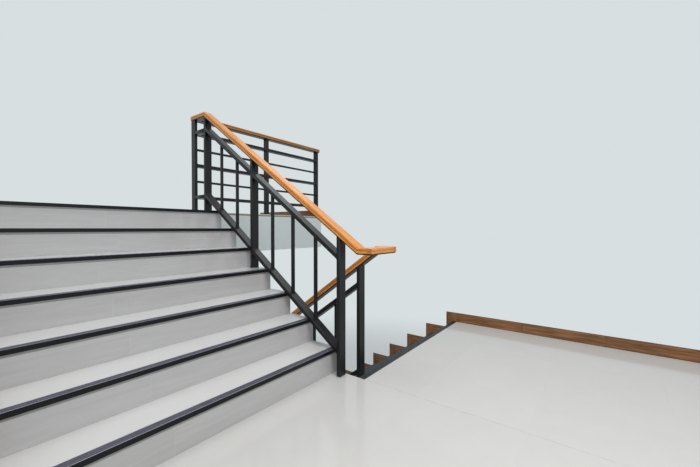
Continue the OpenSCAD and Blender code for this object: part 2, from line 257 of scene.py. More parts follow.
def polished_tile(name, body, clouds, specks, batches, polish, ripple, offset, stretch):
    """Porcelain with clouds and specks in its body, and a polish that the kiln leaves wavy.

    Each tile has its own stretch of the pattern, an offset away, and the tone of its batch.
    specks are a colour and its share, polish the least and the most roughness, and ripple the
    length and the depth of the waves.
    """
    material, tree, place = new_finish(name, {"IOR": 1.52})
    each = add(tree, "NewGeometry").outputs["Random Per Island"]
    shift = add(tree, "VectorMath", {"operation": "SCALE", 0: offset}, {"Scale": each})
    own = add(tree, "VectorMath", {"operation": "ADD"}, {0: place, 1: shift})
    drawn = add(tree, "Mapping", {"Scale": stretch}, {"Vector": own})
    cloud = add(tree, "TexNoise", clouds, {"Vector": drawn})
    toned = add(
        tree, "Mix", {"data_type": "RGBA", ONE: linear(body[0]), TWO: linear(body[1])},
        {SHARE: cloud},
    )
    grains = add(tree, "TexNoise", {"Scale": 1 / 0.0022, "Detail": 1}, {"Vector": own})
    speck = add(
        tree, "MapRange", {"From Min": 0.6, "From Max": 0.75, "To Min": 0, "To Max": specks[1]},
        {"Value": grains},
    )
    speckled = add(
        tree, "Mix", {"data_type": "RGBA", TWO: linear(specks[0])}, {SHARE: speck, ONE: toned}
    )
    batch = add(tree, "MapRange", {"To Min": batches[0], "To Max": batches[1]}, {"Value": each})
    colour = add(tree, "HueSaturation", {}, {"Value": batch, "Color": speckled})
    wheel = add(tree, "TexNoise", {"Scale": 1 / 0.07, "Detail": 3}, {"Vector": own})
    gloss = add(tree, "MapRange", {"To Min": polish[0], "To Max": polish[1]}, {"Value": wheel})
    kiln = add(tree, "TexNoise", {"Scale": 1 / ripple[0], "Detail": 1}, {"Vector": own})
    warp = add(tree, "Bump", {"Strength": 0.35, "Distance": ripple[1]}, {"Height": kiln})
    lay_on(tree, colour, gloss, warp)
    return material, toned


# Polished porcelain: off-white body with faint clouds and specks, a mirror polish that the
# kiln leaves a little wavy, so that reflections run soft and streaky.
porcelain, body = polished_tile(
    "polished off-white porcelain",
    body=("#dfdfdd", "#e6e6e5"), specks=("#cfcdca", 0.35), batches=(0.99, 1.01),
    clouds={"Scale": 1 / 0.16, "Detail": 4, "Roughness": 0.55, "Distortion": 0.6},
    polish=(0.07, 0.17), ripple=(0.22, 0.0011), offset=(7.1, 3.7, 5.3), stretch=(1, 1, 1),
)

# Cement grout: pale grey, matt and sandy, a little darker where it has been walked on.
grout, tree, place = new_finish("pale grey cement grout", {"Roughness": 0.85})
worn = add(tree, "TexNoise", {"Scale": 1 / 0.12, "Detail": 5}, {"Vector": place})
tone = add(
    tree, "Mix", {"data_type": "RGBA", ONE: linear("#cfcecb"), TWO: linear("#d9d8d5")},
    {SHARE: worn},
)
sand = add(tree, "TexNoise", {"Scale": 1 / 0.0008, "Detail": 2}, {"Vector": place})
rough = add(tree, "Bump", {"Strength": 0.4, "Distance": 0.0004}, {"Height": sand})
lay_on(tree, tone, relief=rough)

# Mortar bed, seen only at the cut edges of the tiles: grey-brown and coarse.
mortar, tree, place = new_finish("sand and cement mortar", {"Roughness": 0.95})
grain = add(
    tree, "TexNoise", {"Scale": 1 / 0.004, "Detail": 5, "Roughness": 0.7}, {"Vector": place}
)
tone = add(
    tree, "Mix", {"data_type": "RGBA", ONE: linear("#8a857c"), TWO: linear("#a9a397")},
    {SHARE: grain},
)
coarse = add(tree, "Bump", {"Strength": 0.6, "Distance": 0.0012}, {"Height": grain})
lay_on(tree, tone, relief=coarse)


def retoned(finish, name, node, one, two):
    """A copy of a finish with two other colours in its Mix node."""
    copy = finish.copy()
    copy.name = name
    copy.node_tree.nodes[node.name].inputs[ONE].default_value = linear(one)
    copy.node_tree.nodes[node.name].inputs[TWO].default_value = linear(two)
    return copy


# On the landings the same tile is painted a shade greyer, which is painted shade, and has less of
# its polish.
shaded_landing_tile = retoned(porcelain, "polished off-white porcelain, with painted shade", body, "#d6d5d2", "#dddcd9")
shaded_landing_tile.node_tree.nodes["Principled BSDF"].inputs["Specular IOR Level"].default_value = 0.3

courses = [LANDING_Y + LIP - COURSE * n for n in range(5)]
bm = bmesh.new()
tiled_floor(bm, (-WALL_X, -WELL_X), (0, LANDING_Y + LIP), courses, FLOOR_Z)
tiled_floor(bm, (-WELL_X + JOINT, WALL_X), (0, LOWER_EDGE_Y - STRIP), courses, FLOOR_Z)
set_in_place(bm, "landing_tiles_laid", (shaded_landing_tile, grout, mortar), "landing_tiles")

# Upstairs the guard stands back from the head of the flight, and the floor runs on under it.
GUARD_BACK, FLOOR_EDGE = 0.390, 0.070
head_y = LANDING_Y + TREADS * GOING
guard_y = head_y + GUARD_BACK
guard_edge_y = guard_y - FLOOR_EDGE
courses = [head_y + LIP + COURSE * n for n in range(3)]
bm = bmesh.new()
tiled_floor(bm, (-WALL_X, -WELL_X), (head_y + STRIP, FAR_Y), courses, FLOOR_Z + RISE)
tiled_floor(bm, (-WELL_X + JOINT, WALL_X), (guard_edge_y, FAR_Y), courses, FLOOR_Z + RISE)
set_in_place(bm, "floor_tiles_laid", (shaded_landing_tile, grout, mortar), "floor_tiles")

# Treads: one course of the same tiles on each step, from the riser above to the nosing strip,
# with a joint over the joint of the riser below.
LOWER_FOOT_Y = LOWER_EDGE_Y + TREADS * GOING
FIRST_TILE, STRIP_JOINT, RISER_JOINT = 1.175, 0.0008, 0.0005


def up(s, h):
    """y and z of a point at s along the upper flight, h over its lower landing."""
    return LANDING_Y + s, FLOOR_Z + h


def down(s, h):
    """The same on the lower flight, from the floor at its foot."""
    return LOWER_FOOT_Y - s, FLOOR_Z - RISE + h


def step_box(bm, flight, x_range, s_range, h_range, finish=0, width=0.0):
    """A box across a flight, between two places along it and two heights."""
    (ya, za), (yb, zb) = (flight(s, h) for s, h in zip(s_range, h_range))
    box_between(bm, (x_range[0], min(ya, yb), za), (x_range[1], max(ya, yb), zb), finish, width)


# Each flight's way up, its two sides, and the joint in its treads and risers.
flights = {
    "up": (up, (-WALL_X, -WELL_X), -WELL_X - FIRST_TILE),
    "down": (down, (WELL_X, WALL_X), WELL_X + FIRST_TILE),
}
for side, (flight, (left, right), joint) in flights.items():
    bm = bmesh.new()
    for k in range(1, TREADS + 1):
        front, back, top = (k - 1) * GOING + STRIP, k * GOING + LIP, k * RISER
        step_box(bm, flight, (left, right), (front, back), (top - BED, top - TILE), MORTAR)
        step_box(
            bm, flight, (left + INSET, right - INSET), (front + INSET, back - INSET),
            (top - TILE, top - GROUT_DROP), GROUT,
        )
        for span in spans(left, right, [joint]):
            tile = (front + STRIP_JOINT, back - RISER_JOINT)
            step_box(bm, flight, span, tile, (top - TILE, top), FACE, TILE_ARRIS)
    tread_finishes = (porcelain, grout, mortar)
    set_in_place(bm, side + "_treads_laid", tread_finishes, side + "_treads")

# Risers: pale grey polished tiles stuck on the concrete, each held down by the tread below and
# tucked under the nosing strip above. The joints of the two top risers lie nearer the well.
RISERS, RISER_TILE, GLUE, TOP_JOINTS = TREADS + 1, 0.012, 0.003, 0.838


def riser_of(side, k):
    """A riser's face along its flight, the top of its tile and its two sides.

    The lower flight's top riser closes the landing's edge over the well too.
    """
    sides = (-WELL_X, WALL_X) if side == "down" and k == RISERS else flights[side][1]
    return (k - 1) * GOING + LIP, k * RISER - BED, sides


# Polished riser tile: a cooler, greyer body than the floor's, with fine horizontal clouds.
riser_tile, _ = polished_tile(
    "polished pale grey porcelain",
    body=("#bdbcbd", "#d3d3d3"), specks=("#b4b2b0", 0.3), batches=(0.97, 1.02),
    clouds={"Scale": 1 / 0.25, "Detail": 5, "Roughness": 0.6, "Distortion": 0.8},
    polish=(0.06, 0.15), ripple=(0.2, 0.001), offset=(5.9, 8.3, 2.7), stretch=(1, 10, 10),
)

for side, (flight, _, joint) in flights.items():
    bm = bmesh.new()
    for k in range(1, RISERS + 1):
        face, head, (left, right) = riser_of(side, k)
        foot = 0 if side == "down" and k == 1 else (k - 1) * RISER - BED
        back, inner = face + RISER_TILE - GLUE, (left + INSET, right - INSET)
        step_box(bm, flight, inner, (back, face + RISER_TILE), (foot, head), MORTAR)
        step_box(bm, flight, inner, (face + GROUT_DROP, back), (foot, head - INSET), GROUT)
        for span in spans(left, right, [joint * (TOP_JOINTS if k > RISERS - 2 else 1), WELL_X]):
            tile = (foot, head - RISER_JOINT)
            step_box(bm, flight, span, (face, back), tile, FACE, TILE_ARRIS)
    riser_finishes = (riser_tile, grout, mortar)
    set_in_place(bm, side + "_risers_laid", riser_finishes, side + "_risers")

# Nosing strips: extruded aluminium, anodised black, bedded level with the tiles. Ribs run along
# the top for grip, and the front drops over the riser.

# Anodised aluminium: satin and blue-black, with the draw lines of the die.
anodised, tree, place = new_finish(
    "black anodised aluminium", {"Metallic": 0.2, "Specular IOR Level": 0.3}
)
drawn = add(tree, "Mapping", {"Scale": (0.02, 1, 1)}, {"Vector": place})
lines = add(tree, "TexNoise", {"Scale": 1 / 0.0012, "Detail": 3}, {"Vector": drawn})
tone = add(
    tree, "Mix", {"data_type": "RGBA", ONE: linear("#0e0f13"), TWO: linear("#181a1f")},
    {SHARE: lines},
)
gloss = add(tree, "MapRange", {"To Min": 0.32, "To Max": 0.45}, {"Value": lines})
ridges = add(tree, "Bump", {"Strength": 0.2, "Distance": 0.0002}, {"Height": lines})
lay_on(tree, tone, gloss, ridges)

# The tops of the ribs are painted blue-grey, brighter in some places: partly scuffed dye, partly a
# painted reflection of bluish light. A fine cross knurl stops shoes from sliding along them. Its
# notches are 2.5 mm apart: at a scale of 1 the wave node draws about pi of them in a metre.
scuffed_and_sheen, tree, place = new_finish("scuffed tops of the anodised ribs, with painted reflection", {"Metallic": 0.3})
scuffs_and_sheen = add(
    tree, "TexNoise", {"Scale": 1 / 0.06, "Detail": 6, "Roughness": 0.75}, {"Vector": place}
)
tone = add(
    tree, "Mix", {"data_type": "RGBA", ONE: linear("#5a5b6b"), TWO: linear("#a3a3b6")},
    {SHARE: scuffs_and_sheen},
)
knurl = add(tree, "TexWave", {"Scale": 1 / 0.0025 / pi, "bands_direction": "X"}, {"Vector": place})
notches = add(tree, "Bump", {"Strength": 0.4, "Distance": 0.0004}, {"Height": knurl.outputs["Fac"]})
gloss = add(tree, "MapRange", {"To Min": 0.38, "To Max": 0.55}, {"Value": scuffs_and_sheen})
lay_on(tree, tone, gloss, notches)

# The rib at the front edge is painted lighter still: a painted highlight for the light that its
# rounded edge catches.
front_rib_highlight = retoned(scuffed_and_sheen, "front rib of the strips, with a painted highlight", tone, "#84869a", "#c9c9d4")

# The landing's strip and those below it are painted darker, with less blue in them: painted shade
# for the less light they get, with less wear.
shaded_rib_tops = retoned(scuffed_and_sheen, "rib tops of the lower strips, with painted shade", tone, "#2b2f31", "#5b6265")

RIBS, GROOVE_D, EXTRUDED_ARRIS = 7, 0.0015, 0.0004
FRONT_AREA = 0.03  # a strip's front face is larger than this, and a groove's side smaller
SQUARE, NEARLY, LEANING = 0.99, 0.9, 0.6  # how well a face looks along an axis, as a cosine
for node, front, finishes in (
    ("up_nosings", -1, (anodised, scuffed_and_sheen, front_rib_highlight)),
    ("down_nosings", 1, (anodised, shaded_rib_tops, shaded_rib_tops)),
    ("landing_nosing", 1, (anodised, shaded_rib_tops, shaded_rib_tops)),
):
    bm = shape_of(node)
    fronts = [f for f in bm.faces if f.normal.y * front > SQUARE and f.calc_area() > FRONT_AREA]
    starts = {round(f.calc_center_median().y, 4) for f in fronts}
    arris(bm, corners(bm.edges), EXTRUDED_ARRIS)
    levels = {round(f.calc_center_median().z, 4) for f in bm.faces if f.normal.z > SQUARE}
    tops = [z for z in levels if round(z + GROOVE_D, 4) not in levels]
    for face in bm.faces:
        middle = face.calc_center_median()
        at_top = any(abs(middle.z - z) < GROOVE_D / 2 for z in tops)
        at_front = any(0 <= (y - middle.y) * front < STRIP / RIBS for y in starts)
        # rib tops take the scuffs with painted reflection, the front rib the painted highlight; the
        # lower strips take painted shade on both
        if at_top and face.normal.z > LEANING:
            face.material_index = 2 if at_front else 1
    set_in_place(bm, node + "_extruded", finishes, node)

# Under the lip of each strip a grey bead, shaped as a fillet of sealant drawn smooth, closes the
# joint to the riser. Its grey stands for the shadow that the strip casts there: painted shade.

# Grey sealant: mid grey, smooth and slightly rubbery, and dark enough to paint the shade under the
# strips.
sealant_and_painted_shade, tree, place = new_finish("grey sealant, dark for painted shade under the strips", {"Roughness": 0.45})
drag = add(tree, "TexNoise", {"Scale": 1 / 0.008, "Detail": 3}, {"Vector": place})
tone = add(
    tree, "Mix", {"data_type": "RGBA", ONE: linear("#8d8e8e"), TWO: linear("#a3a4a3")},
    {SHARE: drag},
)
tooled = add(tree, "Bump", {"Strength": 0.3, "Distance": 0.0006}, {"Height": drag})
lay_on(tree, tone, relief=tooled)

BEAD_H, BEAD_D, BEAD_PULL = 0.013, 0.0075, 0.9


def fresh(bm, had):
    """The vertices that a mesh didn't have before."""
    return [v for v in bm.verts if v not in had]


bm = bmesh.new()
for side, (flight, *_) in flights.items():
    for k in range(1, RISERS + 1):
        had = set(bm.verts)
        face, head, (left, right) = riser_of(side, k)
        inner = (left + 2 * INSET, right - 2 * INSET)
        step_box(bm, flight, inner, (face - BEAD_D, face), (head - BEAD_H, head))
        outer_foot = Vector(flight(face - BEAD_D, head - BEAD_H))
        foot = [v for v in fresh(bm, had) if (v.co.yz - outer_foot).length < NEAR]
        pull = BEAD_D * BEAD_PULL * (1 if side == "up" else -1)
        bmesh.ops.translate(bm, vec=(0, pull, 0), verts=foot)
set_in_place(bm, "nosing_shade_bead", (sealant_and_painted_shade,))

# Posts and rails: flat steel tube, butted, welded, ground and sprayed black. The posts turn their
# wide side to the flight and the rails lie flat between them; solid square bars fill the bays.

# Satin black enamel over steel: almost even, with the faint orange peel of a sprayed coat.
enamel, tree, place = new_finish("satin black enamel on steel", {"Specular IOR Level": 0.35})
touch = add(
    tree, "TexNoise", {"Scale": 1 / 0.11, "Detail": 5, "Roughness": 0.65}, {"Vector": place}
)
tone = add(
    tree, "Mix", {"data_type": "RGBA", ONE: linear("#0f1012"), TWO: linear("#17181b")},
    {SHARE: touch},
)
gloss = add(tree, "MapRange", {"To Min": 0.3, "To Max": 0.45}, {"Value": touch})
peel = add(tree, "TexNoise", {"Scale": 1 / 0.0035, "Detail": 2}, {"Vector": place})
sprayed = add(tree, "Bump", {"Strength": 0.15, "Distance": 0.0003}, {"Height": peel})
lay_on(tree, tone, gloss, sprayed)

up_posts = ("up_newel", "up_middle_post", "up_top_post")
down_posts = ("down_foot_post", "down_middle_post", "down_newel")
guard_posts = ("guard_corner_post", "guard_middle_post", "guard_wall_post")
flight_rails = ("up_bottom_rail", "up_sub_rail", "down_bottom_rail", "down_sub_rail")
guard_rails = ("return_rails", "guard_rails")
square_bars = ("guard_bars", "up_balusters", "down_balusters")
TUBE_R, BAR_R = 0.004, 0.0015
TUBE_LONG, BAR_LONG = 0.075, 0.1  # edges longer than these run along a tube or a bar

for node in up_posts + down_posts + guard_posts:
    bm = shape_of(node)
    upright = [
        e for e in corners(bm.edges)
        if abs((e.verts[0].co - e.verts[1].co).normalized().z) > SQUARE
    ]
    arris(bm, upright, TUBE_R, 3)
    set_in_place(bm, node + "_tube", (enamel,), node, rounded=True)

for nodes, ending, least, radius, segments in (
    (flight_rails + guard_rails, "_tube", TUBE_LONG, TUBE_R, 3),
    (square_bars, "_bar", BAR_LONG, BAR_R, 2),
):
    for node in nodes:
        bm = shape_of(node)
        arris(bm, [e for e in corners(bm.edges) if e.calc_length() > least], radius, segments)
        set_in_place(bm, node + ending, (enamel,), node, rounded=True)

# Welds: each tube and bar is fixed by a small fillet bead, ground and sprayed with the rest.
# Where two tubes are flush, the bead was ground away.
POST_D, RAIL_W, RAIL_T, BAR, BEAD = 0.030, 0.070, 0.032, 0.022, 0.0035
UP_RAIL_X, DOWN_RAIL_X, BOTTOM_RAIL_H, SUB_RAIL_H = -0.080, 0.165, 0.045, 0.714
SLOPE, GUARD_LINES = RISER / GOING, 5


def bead(bm, at, section, way, lean=0.0):
    """A fillet round the end of a bar.

    at is the middle of the joint and section the bar's size there, with 0 along way, which
    points along the bar. lean is the rise of the joint for each metre of y.
    """
    made = bmesh.ops.create_cube(bm, size=1)["verts"]
    way = Vector(way)
    foot = Vector([BEAD if n else s + 2 * BEAD for s, n in zip(section, way)])
    head = Vector([1 if n else s / (s + 2 * BEAD) for s, n in zip(section, way)])
    outer = [v for v in made if v.co.dot(way) > 0]
    bmesh.ops.scale(bm, vec=foot, verts=made)
    bmesh.ops.scale(bm, vec=head, verts=outer)
    bmesh.ops.translate(bm, vec=way * BEAD / 2, verts=made)
    leaning = Matrix(((1, 0, 0, 0), (0, 1, 0, 0), (0, lean, 1, 0), (0, 0, 0, 1)))
    bmesh.ops.transform(bm, matrix=Matrix.Translation(at) @ leaning, verts=made)


def bays(posts):
    """The clear stretches of y between neighbouring posts."""
    boxes = sorted((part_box(post) for post in posts), key=lambda b: b[0][1])
    return [(a[1][1], b[0][1]) for a, b in zip(boxes, boxes[1:])]


bm = bmesh.new()
flush_w, cut_t = RAIL_W - 2 * BEAD, RAIL_T * hypot(1, SLOPE)
for side, x, posts, lean in (
    ("up", UP_RAIL_X, up_posts, SLOPE), ("down", DOWN_RAIL_X, down_posts, -SLOPE)
):
    foot_y, foot_z = flights[side][0](0, RISER)
    for y0, y1 in bays(posts):
        for h in (BOTTOM_RAIL_H, SUB_RAIL_H):
            for y, way in ((y0, 1), (y1, -1)):
                z = foot_z + h + (y - foot_y) * lean
                bead(bm, (x, y, z), (flush_w, 0, cut_t), (0, way, 0), lean)
    bars = shape_of(side + "_balusters")
    sides = sorted({round(v.co.y, 4) for v in bars.verts})
    bars.free()
    for y in [(a + b) / 2 for a, b in zip(sides[::2], sides[1::2])]:
        for h, way in ((BOTTOM_RAIL_H, 1), (SUB_RAIL_H, -1)):
            z = foot_z + h + (y - foot_y) * lean + way * cut_t / 2
            bead(bm, (x, y, z), (BAR, BAR, 0), (0, 0, way), lean)

# In the guard thick rails and thin bars take turns, and short rails join it to the top post.
guard_bays = [(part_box(a)[1][0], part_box(b)[0][0]) for a, b in zip(guard_posts, guard_posts[1:])]
low_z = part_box("guard_rails")[0][2] + RAIL_T / 2
high_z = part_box("guard_rails")[1][2] - RAIL_T / 2
for i in range(GUARD_LINES):
    section = (0, BAR, BAR) if i % 2 else (0, flush_w, RAIL_T)
    z = low_z + (high_z - low_z) * i / (GUARD_LINES - 1)
    for x0, x1 in guard_bays:
        for x, way in ((x0, 1), (x1, -1)):
            bead(bm, (x, guard_y, z), section, (way, 0, 0))
(_, near_y, _), (_, far_y, _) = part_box("return_rails")
corner_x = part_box("guard_corner_post")[0][0] + POST_D / 2
for z in (low_z, high_z):
    bead(bm, (UP_RAIL_X, near_y, z), (flush_w, 0, RAIL_T), (0, 1, 0))
    bead(bm, (corner_x, far_y, z), (POST_D - 2 * BEAD, 0, RAIL_T), (0, -1, 0))
set_in_place(bm, "weld_beads", (enamel,))

# Post feet: each post goes through the tile to a plate in the concrete. A bead of the grey
# sealant closes the hole round it.
bm = bmesh.new()
for post in up_posts + down_posts + guard_posts:
    low, high = (Vector(corner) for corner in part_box(post))
    middle, size = (low + high) / 2, high - low
    bead(bm, (middle.x, middle.y, low.z), (size.x, size.y, 0), (0, 0, 1))
set_in_place(bm, "post_foot_sealant", (sealant_and_painted_shade,))

# Flats: hot-rolled steel bars welded on the posts. They carry the wood, which is held by screws
# from below.
FLAT_T, ROLLED_R = 0.008, 0.0008
for node in ("up_rail_flat", "turn_rail_flat", "down_rail_flat", "guard_rail_flat"):
    bm = shape_of(node)
    arris(bm, corners(bm.edges), ROLLED_R)
    set_in_place(bm, node + "_rolled", (enamel,), node, rounded=True)

# Handrail: boards of orange-brown hardwood, moulded with a groove along each side, mitred at every
# bend and screwed down on the steel flat. A clear varnish makes the top shine orange.
WOOD_W, WOOD_T, REED_H, REED_D = 0.080, 0.038, 0.004, 0.003
TOP_R, UNDER_R, LIP_R, MITRE_GAP, EDGE_STRIP = 0.006, 0.003, 0.0008, 0.0002, 0.036
UP_WOOD_H, UP_WOOD_TOP_H, DOWN_WOOD_H, GUARD_H = 0.912, 0.885, 0.898, 0.999
TURN_BEND, TURN_END = 0.247, 0.353
UP_SLOPE = SLOPE + (UP_WOOD_TOP_H - UP_WOOD_H) / (TREADS * GOING)
TURN_H = RISER + UP_WOOD_H - TURN_BEND * UP_SLOPE
GRAIN = "grain"
OWN_GRAIN = Vector((1.37, 0.31, 0.11))  # how far one board's grain is from the next one's
WOOD, END, GROOVE = 0, 1, 2  # places of the finishes in each handrail piece

# Varnished hardwood: orange-brown heartwood with darker bands and short open pores, under a
# clear satin coat.
hardwood, tree, along = new_finish(
    "varnished orange-brown hardwood",
    {"Coat Weight": 0.12, "Coat Roughness": 0.15, "Specular IOR Level": 0.32},
    GRAIN,
)
long_way = add(tree, "Mapping", {"Scale": (0.06, 1, 1)}, {"Vector": along})
bands = add(
    tree, "TexNoise", {"Scale": 1 / 0.012, "Detail": 4, "Roughness": 0.55, "Distortion": 0.4},
    {"Vector": long_way},
)
band = add(tree, "MapRange", {"From Min": 0.35, "From Max": 0.68}, {"Value": bands})
heart = add(
    tree, "Mix", {"data_type": "RGBA", ONE: linear("#f8ab53"), TWO: linear("#d47f36")},
    {SHARE: band},
)
fibres = add(tree, "Mapping", {"Scale": (0.05, 1, 1)}, {"Vector": along})
pores = add(tree, "TexNoise", {"Scale": 1 / 0.0009, "Detail": 2}, {"Vector": fibres})
pore = add(
    tree, "MapRange", {"From Min": 0.56, "From Max": 0.72, "To Min": 0, "To Max": 0.55},
    {"Value": pores},
)
wood = add(tree, "Mix", {"data_type": "RGBA", TWO: linear("#9a5523")}, {SHARE: pore, ONE: heart})
gloss = add(tree, "MapRange", {"To Min": 0.3, "To Max": 0.42}, {"Value": bands})
open_grain = add(
    tree, "Bump", {"Strength": 0.25, "Distance": 0.0003, "invert": True}, {"Height": pore}
)
lay_on(tree, wood, gloss, open_grain)

# Cut end grain takes up more stain: the same wood, deeper and duller.
end_grain, tree, along = new_finish(
    "stained end grain of the hardwood", {"Coat Weight": 0.2, "Coat Roughness": 0.25}, GRAIN
)
rings = add(
    tree, "TexNoise", {"Scale": 1 / 0.009, "Detail": 4, "Distortion": 0.8}, {"Vector": along}
)
tone = add(
    tree, "Mix", {"data_type": "RGBA", ONE: linear("#d28e4a"), TWO: linear("#b26e34")},
    {SHARE: rings},
)
gloss = add(tree, "MapRange", {"To Min": 0.4, "To Max": 0.55}, {"Value": rings})
cut_ends = add(tree, "Bump", {"Strength": 0.25, "Distance": 0.0004}, {"Height": rings})
lay_on(tree, tone, gloss, cut_ends)

# The floor of the groove is painted darker: painted shade in the recess.
groove = retoned(end_grain, "floor of the groove, with painted shade", tone, "#8a5223", "#6a3c17")

# The guard's boards are painted a deeper brown: painted shade, for the less light that falls on
# them.
shaded_guard_wood = retoned(hardwood, "varnished hardwood, with painted shade on the guard", heart, "#c48d47", "#a8682d")


def fresh_geometry(bm, had):
    """The vertices that a mesh didn't have before, with their edges and faces."""
    verts = fresh(bm, had)
    edges = {e for v in verts for e in v.link_edges}
    return verts + list(edges) + list({f for v in verts for f in v.link_faces})


def cut_off(bm, had, point, normal):
    """Cuts the fresh part of a mesh at a plane, drops what lies beyond and closes the cut."""
    cut = bmesh.ops.bisect_plane(
        bm, geom=fresh_geometry(bm, had), plane_co=point, plane_no=normal, clear_outer=True
    )["geom_cut"]
    rim = [e for e in cut if isinstance(e, bmesh.types.BMEdge)]
    return bmesh.ops.edgeloop_fill(bm, edges=rim)["faces"] if rim else []


def board(bm, start, end, across, before, after, number):
    """A moulded board whose top runs from start to end, cut where it meets its neighbours.

    before and after are the directions of the neighbours, or None for a square end.
    """
    had, had_faces = set(bm.verts), set(bm.faces)
    start, end, across = Vector(start), Vector(end), Vector(across)
    along, length = (end - start).normalized(), (end - start).length
    turn = Matrix((along, across, along.cross(across))).transposed().to_4x4()
    place = Matrix.Translation(start) @ turn
    made = bmesh.ops.create_cube(bm, size=1)["verts"]
    bmesh.ops.scale(bm, vec=(length + 2 * WOOD_W, WOOD_W, WOOD_T), verts=made)
    bmesh.ops.translate(bm, vec=(length / 2, 0, -WOOD_T / 2), verts=made)
    for z in (-(WOOD_T - REED_H) / 2, -(WOOD_T + REED_H) / 2):
        whole = fresh_geometry(bm, had)
        bmesh.ops.bisect_plane(bm, geom=whole, plane_co=(0, 0, z), plane_no=(0, 0, 1))
    for way in (-1, 1):
        side = [f for f in bm.faces if f not in had_faces and f.normal.y * way > SQUARE]
        reed = [f for f in side if abs(f.calc_center_median().z + WOOD_T / 2) < REED_H / 4]
        pushed = bmesh.ops.extrude_discrete_faces(bm, faces=reed)["faces"]
        floor = list({v for f in pushed for v in f.verts})
        bmesh.ops.translate(bm, vec=(0, -way * REED_D, 0), verts=floor)
        for face in pushed:
            face.material_index = GROOVE
    edges = {e for f in bm.faces if f not in had_faces for e in f.edges}
    long_edges = [e for e in corners(edges) if e.calc_length() > length]
    top = [e for e in long_edges if e.verts[0].co.z > -NEAR]
    under = [e for e in long_edges if e.verts[0].co.z < NEAR - WOOD_T]
    lips = [e for e in long_edges if e not in top and e not in under]
    arris(bm, top, TOP_R, 4)
    arris(bm, under, UNDER_R, 3)
    arris(bm, [e for e in lips if e.is_valid], LIP_R)
    bmesh.ops.transform(bm, matrix=place, verts=fresh(bm, had))
    for point, way, other in ((start, -1, before), (end, 1, after)):
        mitred = other is not None
        normal = ((along + Vector(other)).normalized() if mitred else along) * way
        closed = cut_off(bm, had, point - normal * MITRE_GAP * mitred, normal)
        for face in closed:
            face.material_index = END
        rim = {e for f in closed for e in f.edges}
        arris(bm, rim, LIP_R if mitred else UNDER_R, 1 if mitred else 3)
    grain = bm.verts.layers.float_vector[GRAIN]
    back = place.inverted()
    for v in fresh(bm, had):
        v[grain] = back @ v.co + OWN_GRAIN * number


def rail_boards(bm, points, across, lead_in, lead_out, number):
    """The boards between points, mitred to each other and to the boards before and after."""
    bm.verts.layers.float_vector.new(GRAIN)
    ways = [(Vector(b) - Vector(a)).normalized() for a, b in zip(points, points[1:])]
    for i, (a, b) in enumerate(zip(points, points[1:])):
        before = ways[i - 1] if i else lead_in
        after = ways[i + 1] if i + 1 < len(ways) else lead_out
        board(bm, a, b, across[i], before, after, number + i)
    bmesh.ops.recalc_face_normals(bm, faces=bm.faces)


def butted_end(bm, line, beyond, facing):
    """Shows the end grain of the neighbour's edge strip on a side, beyond a joint line."""
    whole = bm.verts[:] + bm.edges[:] + bm.faces[:]
    bmesh.ops.bisect_plane(bm, geom=whole, plane_co=line, plane_no=beyond)
    for face in bm.faces:
        outside = (face.calc_center_median() - line).dot(beyond) > 0
        if outside and face.normal.dot(facing) > LEANING:
            face.material_index = END


def top_bend(flight, height, slope, level):
    """Where the sloping top of the wood reaches a level."""
    return flight((level - RISER - height) / slope, level)


turn_y = LANDING_Y - TURN_END + WOOD_W / 2
turn_z, guard_z = FLOOR_Z + TURN_H, FLOOR_Z + RISE + GUARD_H
up_foot = Vector((UP_RAIL_X, *top_bend(up, UP_WOOD_H, UP_SLOPE, TURN_H)))
up_head = Vector((UP_RAIL_X, *top_bend(up, UP_WOOD_H, UP_SLOPE, RISE + GUARD_H)))
down_foot = Vector((DOWN_RAIL_X, *top_bend(down, DOWN_WOOD_H, SLOPE, TURN_H)))
down_head = Vector((DOWN_RAIL_X, *top_bend(down, DOWN_WOOD_H, SLOPE, RISE + TURN_H)))
down_end = (DOWN_RAIL_X, LOWER_FOOT_Y + TURN_END, down_foot.z)
guard_corner, guard_end = (UP_RAIL_X, guard_y, guard_z), (WALL_X, guard_y, guard_z)
turn_left, turn_right = Vector((UP_RAIL_X, turn_y, turn_z)), Vector((DOWN_RAIL_X, turn_y, turn_z))
up_way, down_way = (up_head - up_foot).normalized(), (down_head - down_foot).normalized()
east, north = Vector((1, 0, 0)), Vector((0, 1, 0))
turn_points, turn_across = [down_head, turn_right, turn_left, up_foot], [east, -north, -east]
woods = {}
for node, points, across, lead_in, lead_out, number in (
    ("up_handrail", [up_foot, up_head, guard_corner], [-east, -east], north, east, 1),
    ("turn_handrail", turn_points, turn_across, down_way, up_way, 4),
    ("down_handrail", [down_end, down_foot, down_head], [east, east], None, -north, 7),
    ("guard_handrail", [guard_corner, guard_end], [north], north, None, 10),
):
    woods[node] = bmesh.new()
    rail_boards(woods[node], points, across, lead_in, lead_out, number)

# Across the turn the groove's floor gets no painted shade and is as bright as the wood, and the
# edge strips butt at both corners.
turn = woods["turn_handrail"]
for face in turn.faces:
    if face.material_index == GROOVE and abs(face.normal.y) > NEARLY:
        face.material_index = WOOD
butted_end(turn, turn_left - north * (WOOD_W / 2 - EDGE_STRIP), -north, -east)
butted_end(turn, turn_right + east * (WOOD_W / 2 - EDGE_STRIP), east, -north)
for node, bm in woods.items():
    finishes = (shaded_guard_wood if node == "guard_handrail" else hardwood, end_grain, groove)
    set_in_place(bm, node + "_boards", finishes, node, rounded=True)

# Screws: button heads of zinc-plated steel, turned up through the flat into the wood about
# every 300 mm, with one under the turn.

